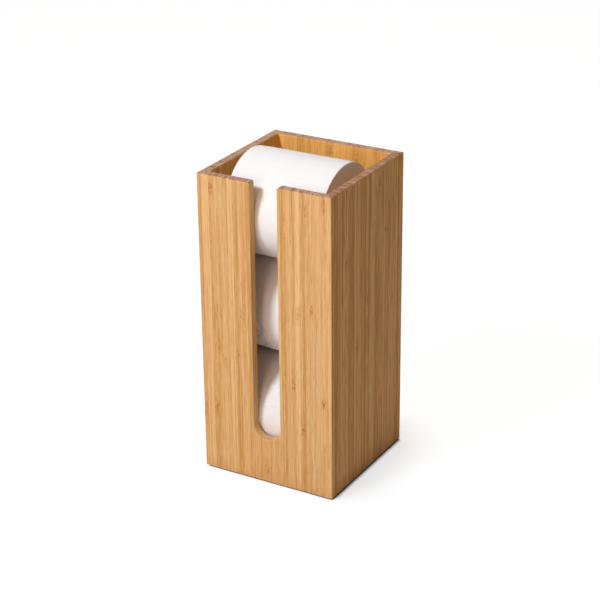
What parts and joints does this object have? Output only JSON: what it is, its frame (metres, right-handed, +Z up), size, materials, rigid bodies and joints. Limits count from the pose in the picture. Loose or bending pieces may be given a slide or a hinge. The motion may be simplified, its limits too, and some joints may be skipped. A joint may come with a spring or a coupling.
{
  "type": "toilet paper stand",
  "caption": "Free-standing open-topped square bamboo box with a tall round-ended slot in its front, holding a pile of toilet rolls that lift out at the top.",
  "frame": {"origin": "on the ground, under the middle of the stand", "axes": "+Z up; +X to the right across the front; the slotted front faces -Y"},
  "size_m": [0.14, 0.14, 0.3137],
  "materials": {
    "bamboo": "satin",
    "tissue": "matte",
    "core_board": "matte",
    "pad": "matte"
  },
  "bodies": {
    "stand": {"front_panel": "bamboo", "back_panel": "bamboo", "left_panel": "bamboo", "right_panel": "bamboo", "bottom_panel": "bamboo", "corner_spline_front_left": "bamboo", "corner_spline_front_right": "bamboo", "corner_spline_back_left": "bamboo", "corner_spline_back_right": "bamboo", "foot_pad_front_left": "pad", "foot_pad_front_right": "pad", "foot_pad_back_left": "pad", "foot_pad_back_right": "pad"},
    "bottom_roll": {"bottom_roll_paper": "tissue", "bottom_roll_core": "core_board"},
    "middle_roll": {"middle_roll_paper": "tissue", "middle_roll_core": "core_board"},
    "top_roll": {"top_roll_paper": "tissue", "top_roll_core": "core_board"}
  },
  "joints": [
    {"name": "bottom_roll_lift", "type": "slide", "parent": "stand", "child": "bottom_roll", "axis": [0, 0, 1], "range_m": [0, 0.303]},
    {"name": "middle_roll_lift", "type": "slide", "parent": "bottom_roll", "child": "middle_roll", "axis": [0, 0, 1], "range_m": [0, 0.202]},
    {"name": "top_roll_lift", "type": "slide", "parent": "middle_roll", "child": "top_roll", "axis": [0, 0, 1], "range_m": [0, 0.102]}
  ]
}
